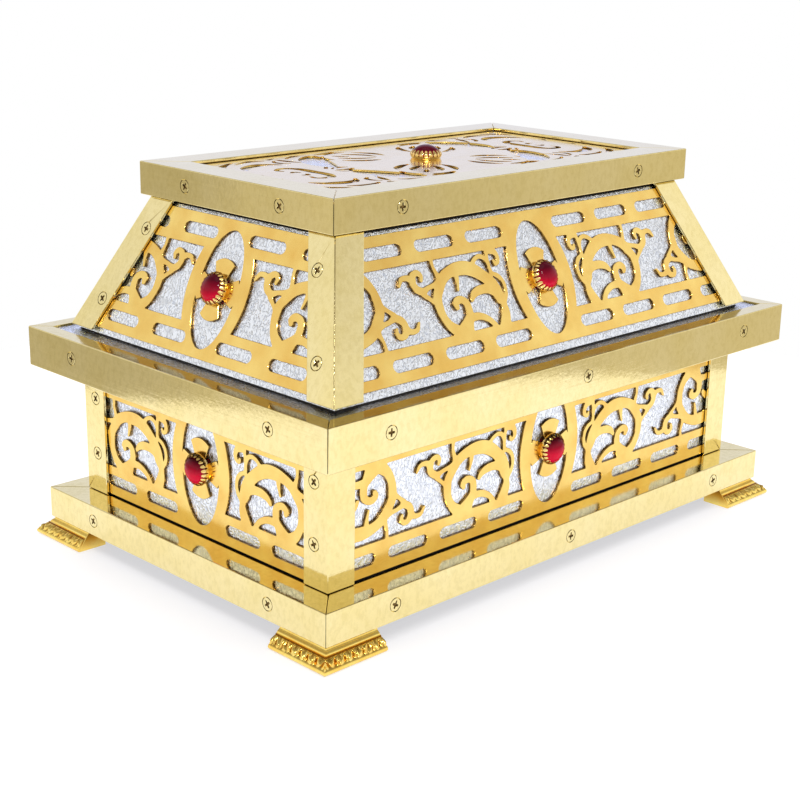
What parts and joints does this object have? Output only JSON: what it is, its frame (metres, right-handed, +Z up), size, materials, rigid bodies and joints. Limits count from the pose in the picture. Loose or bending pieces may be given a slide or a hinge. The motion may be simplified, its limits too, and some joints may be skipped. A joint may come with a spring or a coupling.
{
  "type": "reliquary chest",
  "caption": "House-shaped reliquary chest: a rectangular case and a lift-off tapered lid in brass angle, with pierced gilt sheets over silver, red cabochons and splayed corner feet.",
  "frame": {"origin": "on the ground, under the middle of the chest", "axes": "+X along the long side, -Y to the front, +Z up"},
  "size_m": [0.419, 0.278, 0.248],
  "materials": {
    "brass": "polished angle strip",
    "gilt_sheet": "satin gilt sheet",
    "gilt_crown": "bright gilt",
    "cast_gilt": "bright cast gilt",
    "silver": "crinkled silver foil sheet",
    "board": "black stained board",
    "red_stone": "polished cabochon"
  },
  "bodies": {
    "root": {"base_rail_back": "brass", "base_rail_front": "brass", "base_rail_left": "brass", "base_rail_right": "brass", "cabochon_case_back": "red_stone", "cabochon_case_front": "red_stone", "cabochon_case_left": "red_stone", "cabochon_case_right": "red_stone", "cabochon_roof_back": "red_stone", "cabochon_roof_front": "red_stone", "cabochon_roof_left": "red_stone", "cabochon_roof_right": "red_stone", "cabochon_top": "red_stone", "case_boards": "board", "case_fretwork_back": "gilt_sheet", "case_fretwork_front": "gilt_sheet", "case_fretwork_left": "gilt_sheet", "case_fretwork_right": "gilt_sheet", "case_post_back_left": "brass", "case_post_back_right": "brass", "case_post_front_left": "brass", "case_post_front_right": "brass", "case_silver": "silver", "crown_case_back": "gilt_crown", "crown_case_front": "gilt_crown", "crown_case_left": "gilt_crown", "crown_case_right": "gilt_crown", "crown_roof_back": "gilt_crown", "crown_roof_front": "gilt_crown", "crown_roof_left": "gilt_crown", "crown_roof_right": "gilt_crown", "crown_top": "gilt_crown", "eave_rail_back": "brass", "eave_rail_front": "brass", "eave_rail_left": "brass", "eave_rail_right": "brass", "eave_silver": "silver", "foot_back_left": "cast_gilt", "foot_back_right": "cast_gilt", "foot_front_left": "cast_gilt", "foot_front_right": "cast_gilt", "roof_boards": "board", "roof_fretwork_back": "gilt_sheet", "roof_fretwork_front": "gilt_sheet", "roof_fretwork_left": "gilt_sheet", "roof_fretwork_right": "gilt_sheet", "roof_post_back_left": "brass", "roof_post_back_right": "brass", "roof_post_front_left": "brass", "roof_post_front_right": "brass", "roof_silver": "silver", "top_fretwork": "gilt_sheet", "top_rail_back": "brass", "top_rail_front": "brass", "top_rail_left": "brass", "top_rail_right": "brass", "top_silver": "silver"}
  },
  "joints": []
}
